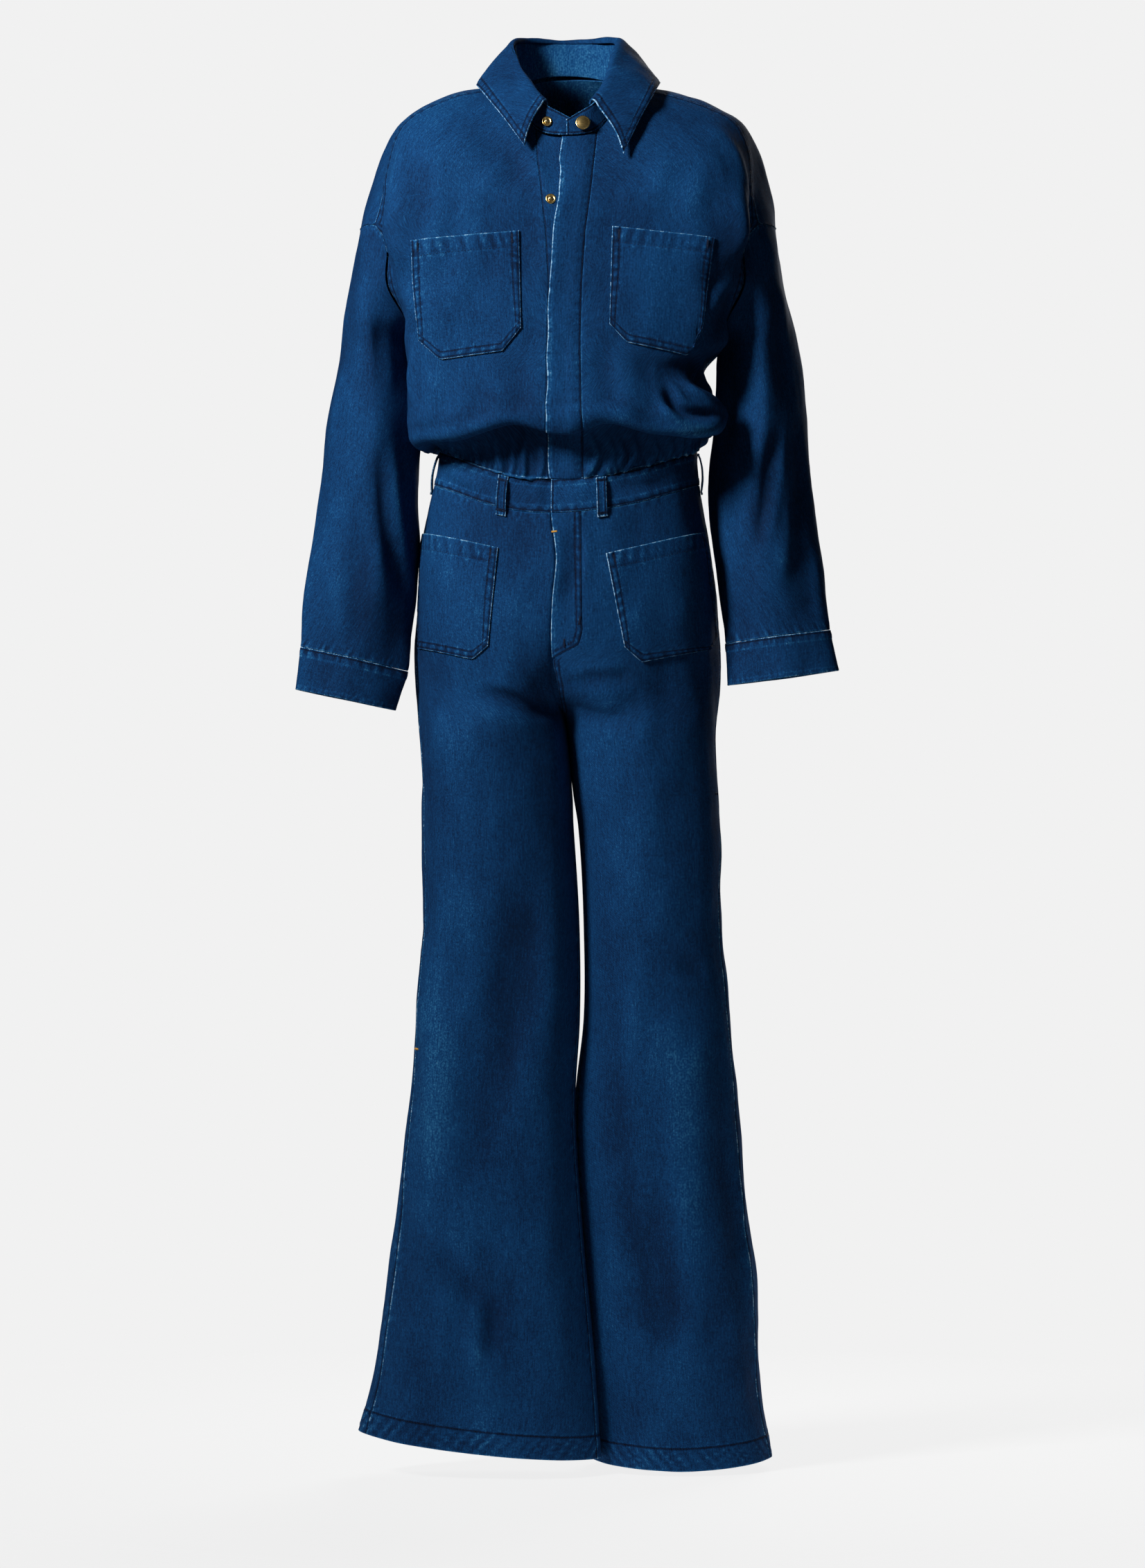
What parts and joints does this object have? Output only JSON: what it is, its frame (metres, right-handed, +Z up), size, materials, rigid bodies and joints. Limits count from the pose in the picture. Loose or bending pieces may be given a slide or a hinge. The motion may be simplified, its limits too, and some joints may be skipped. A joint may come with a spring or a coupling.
{
  "type": "denim jumpsuit",
  "caption": "Worn denim jumpsuit with a falling collar, snap front, gathered blouson bodice, long cuffed sleeves, belt loops, patch pockets and flared trousers.",
  "frame": {"origin": "between the shoulder points at the height of the collar's fold line at the sides, where the wearer's shoulders hold the garment up", "axes": "+Z up along the garment's length, -Y out of its front, +X to the wearer's left"},
  "size_m": [0.5933, 0.276, 1.5715],
  "materials": {
    "denim": "dark indigo denim, washed at the seams",
    "brass": "satin"
  },
  "bodies": {
    "root": {"front_right": "denim", "front_left": "denim", "back": "denim", "placket": "denim", "placket_under": "denim", "collar": "denim", "collar_stand": "denim", "sleeve_right": "denim", "sleeve_left": "denim", "cuff_right": "denim", "cuff_left": "denim", "chest_pocket_right": "denim", "chest_pocket_left": "denim", "waistband": "denim", "belt_loop_front_right": "denim", "belt_loop_front_left": "denim", "belt_loop_side_right": "denim", "belt_loop_side_left": "denim", "belt_loop_back": "denim", "trouser_front_right": "denim", "trouser_front_left": "denim", "trouser_back_right": "denim", "trouser_back_left": "denim", "fly": "denim", "hip_pocket_right": "denim", "hip_pocket_left": "denim", "snap_cap": "brass", "snap_stud_collar": "brass", "snap_stud_placket": "brass"}
  },
  "joints": []
}
